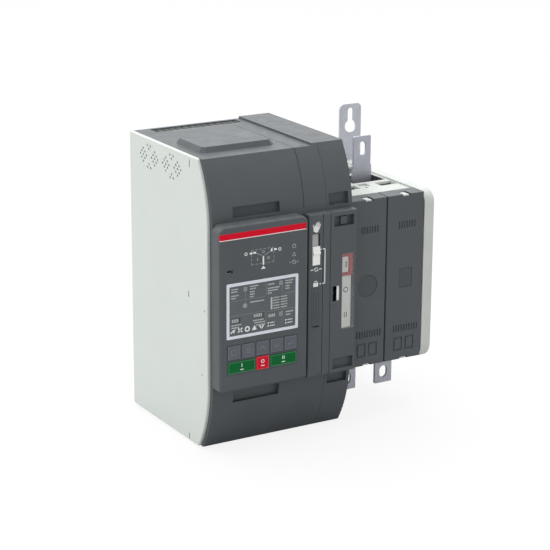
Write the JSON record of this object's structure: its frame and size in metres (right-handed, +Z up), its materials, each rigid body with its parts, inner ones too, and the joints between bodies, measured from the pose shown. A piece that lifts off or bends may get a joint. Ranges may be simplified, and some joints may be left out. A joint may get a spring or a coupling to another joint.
{
  "type": "automatic transfer switch",
  "caption": "Motorised changeover switch: curved dark control case with keypad and display, mode slide and position window, and a stack of poles with blade terminals.",
  "frame": {"origin": "centre of the rear mounting plane and of the 240 by 268 mm fixing pattern", "axes": "+Z up, +X to the poles on the right seen from the front, +Y back into the panel, so the operator looks along +Y"},
  "size_m": [0.2659, 0.1755, 0.2864],
  "materials": {
    "light_grey_plastic": "satin",
    "side_paint": "satin",
    "dark_plastic": "fine spark-eroded texture",
    "panel_plastic": "fine texture",
    "zinc_steel": "zinc plated",
    "screw_steel": "zinc plated",
    "yoke_steel": "zinc plated",
    "winding_copper": "enamelled copper wire",
    "bobbin_plastic": "moulded",
    "tinned_copper": "tin plated copper",
    "bush_bronze": "machined",
    "white_plastic": "satin",
    "clear_plastic": "clear moulded",
    "pointer_red": "satin",
    "tab_plastic": "fine texture",
    "lcd_border": "satin",
    "lcd_glass": "dark display pane",
    "light_pipe": "clear moulded",
    "circuit_board": "solder mask",
    "connector_green": "moulded",
    "lever_steel": "blanked",
    "key_grey": "satin membrane",
    "key_green": "satin membrane",
    "key_red": "satin membrane"
  },
  "bodies": {
    "enclosure": {"arc_plates": "screw_steel", "auxiliary_switches": "bobbin_plastic", "bearing_plate_centre": "zinc_steel", "bearing_plate_left": "zinc_steel", "bearing_plate_right": "zinc_steel", "case_screws": "screw_steel", "connector_blocks": "connector_green", "control_board": "circuit_board", "control_cover": "dark_plastic", "end_plate": "light_grey_plastic", "hmi_back_cover": "dark_plastic", "hmi_bezel": "panel_plastic", "hmi_board": "circuit_board", "indicator_housing": "dark_plastic", "indicator_scale": "white_plastic", "indicator_window": "clear_plastic", "lcd_frame": "lcd_border", "lcd_panel": "lcd_glass", "light_pipes": "light_pipe", "load_terminals": "tinned_copper", "mechanism_cover": "dark_plastic", "mounting_bracket": "zinc_steel", "pole_1_cover": "dark_plastic", "pole_1_housing": "light_grey_plastic", "pole_2_cover": "dark_plastic", "pole_2_housing": "light_grey_plastic", "power_board": "circuit_board", "rear_plate": "zinc_steel", "selector_column": "dark_plastic", "shaft_bushes": "bush_bronze", "side_plate": "side_paint", "solenoid_bobbins": "bobbin_plastic", "solenoid_windings": "winding_copper", "solenoid_yokes": "yoke_steel", "source_1_terminals": "tinned_copper", "source_2_terminals": "tinned_copper", "tie_rods": "screw_steel"},
    "shaft_group": {"main_shaft": "screw_steel", "crank": "screw_steel", "indicator_gear": "screw_steel", "drive_pinion": "screw_steel", "rotor_hubs": "bobbin_plastic", "contact_blades": "tinned_copper"},
    "plunger_group": {"plunger_link": "screw_steel", "plungers": "screw_steel"},
    "pointer_group": {"indicator_pointer": "pointer_red", "indicator_rack": "bobbin_plastic"},
    "manual_lever": {"manual_lever": "lever_steel"},
    "selector_knob": {"selector_knob": "white_plastic"},
    "handle_shutter": {"handle_shutter": "white_plastic"},
    "padlock_tab": {"padlock_tab": "tab_plastic"},
    "menu_key_1": {"menu_key_1": "key_grey"},
    "menu_key_2": {"menu_key_2": "key_grey"},
    "menu_key_3": {"menu_key_3": "key_grey"},
    "menu_key_4": {"menu_key_4": "key_grey"},
    "menu_key_5": {"menu_key_5": "key_grey"},
    "key_source_1": {"key_source_1": "key_green"},
    "key_off": {"key_off": "key_red"},
    "key_source_2": {"key_source_2": "key_green"}
  },
  "joints": [
    {"name": "main_shaft_turn", "type": "hinge", "parent": "enclosure", "child": "shaft_group", "pos_m": [0, -0.075, 0], "axis": [1, 0, 0], "range_deg": [0, 80]},
    {"name": "plunger_slide", "type": "slide", "parent": "enclosure", "child": "plunger_group", "axis": [0, 0, 1], "range_m": [0, 0.0258]},
    {"name": "pointer_slide", "type": "slide", "parent": "enclosure", "child": "pointer_group", "axis": [0, 0, -1], "range_m": [0, 0.0503]},
    {"name": "manual_lever_rock", "type": "hinge", "parent": "enclosure", "child": "manual_lever", "pos_m": [0, -0.14, 0], "axis": [1, 0, 0], "range_deg": [-22, 0]},
    {"name": "mode_selector", "type": "slide", "parent": "enclosure", "child": "selector_knob", "axis": [0, 0, 1], "range_m": [0, 0.012]},
    {"name": "shutter_slide", "type": "slide", "parent": "enclosure", "child": "handle_shutter", "axis": [1, 0, 0], "range_m": [0, 0.0026]},
    {"name": "padlock_tab_pull", "type": "slide", "parent": "enclosure", "child": "padlock_tab", "axis": [0, -1, 0], "range_m": [0, 0.016]},
    {"name": "menu_key_1_press", "type": "slide", "parent": "enclosure", "child": "menu_key_1", "axis": [0, 1, 0], "range_m": [0, 0.0008], "stiffness_N_per_m": 2000},
    {"name": "menu_key_2_press", "type": "slide", "parent": "enclosure", "child": "menu_key_2", "axis": [0, 1, 0], "range_m": [0, 0.0008], "stiffness_N_per_m": 2000},
    {"name": "menu_key_3_press", "type": "slide", "parent": "enclosure", "child": "menu_key_3", "axis": [0, 1, 0], "range_m": [0, 0.0008], "stiffness_N_per_m": 2000},
    {"name": "menu_key_4_press", "type": "slide", "parent": "enclosure", "child": "menu_key_4", "axis": [0, 1, 0], "range_m": [0, 0.0008], "stiffness_N_per_m": 2000},
    {"name": "menu_key_5_press", "type": "slide", "parent": "enclosure", "child": "menu_key_5", "axis": [0, 1, 0], "range_m": [0, 0.0008], "stiffness_N_per_m": 2000},
    {"name": "key_source_1_press", "type": "slide", "parent": "enclosure", "child": "key_source_1", "axis": [0, 1, 0], "range_m": [0, 0.0008], "stiffness_N_per_m": 2000},
    {"name": "key_off_press", "type": "slide", "parent": "enclosure", "child": "key_off", "axis": [0, 1, 0], "range_m": [0, 0.0008], "stiffness_N_per_m": 2000},
    {"name": "key_source_2_press", "type": "slide", "parent": "enclosure", "child": "key_source_2", "axis": [0, 1, 0], "range_m": [0, 0.0008], "stiffness_N_per_m": 2000}
  ],
  "couplings": [
    {"joint": "plunger_slide", "follows": "main_shaft_turn", "m_per_rad": 0.018415},
    {"joint": "pointer_slide", "follows": "main_shaft_turn", "m_per_rad": 0.036},
    {"joint": "manual_lever_rock", "follows": "main_shaft_turn", "ratio": -0.27451},
    {"joint": "shutter_slide", "follows": "mode_selector", "ratio": 0.21667}
  ]
}
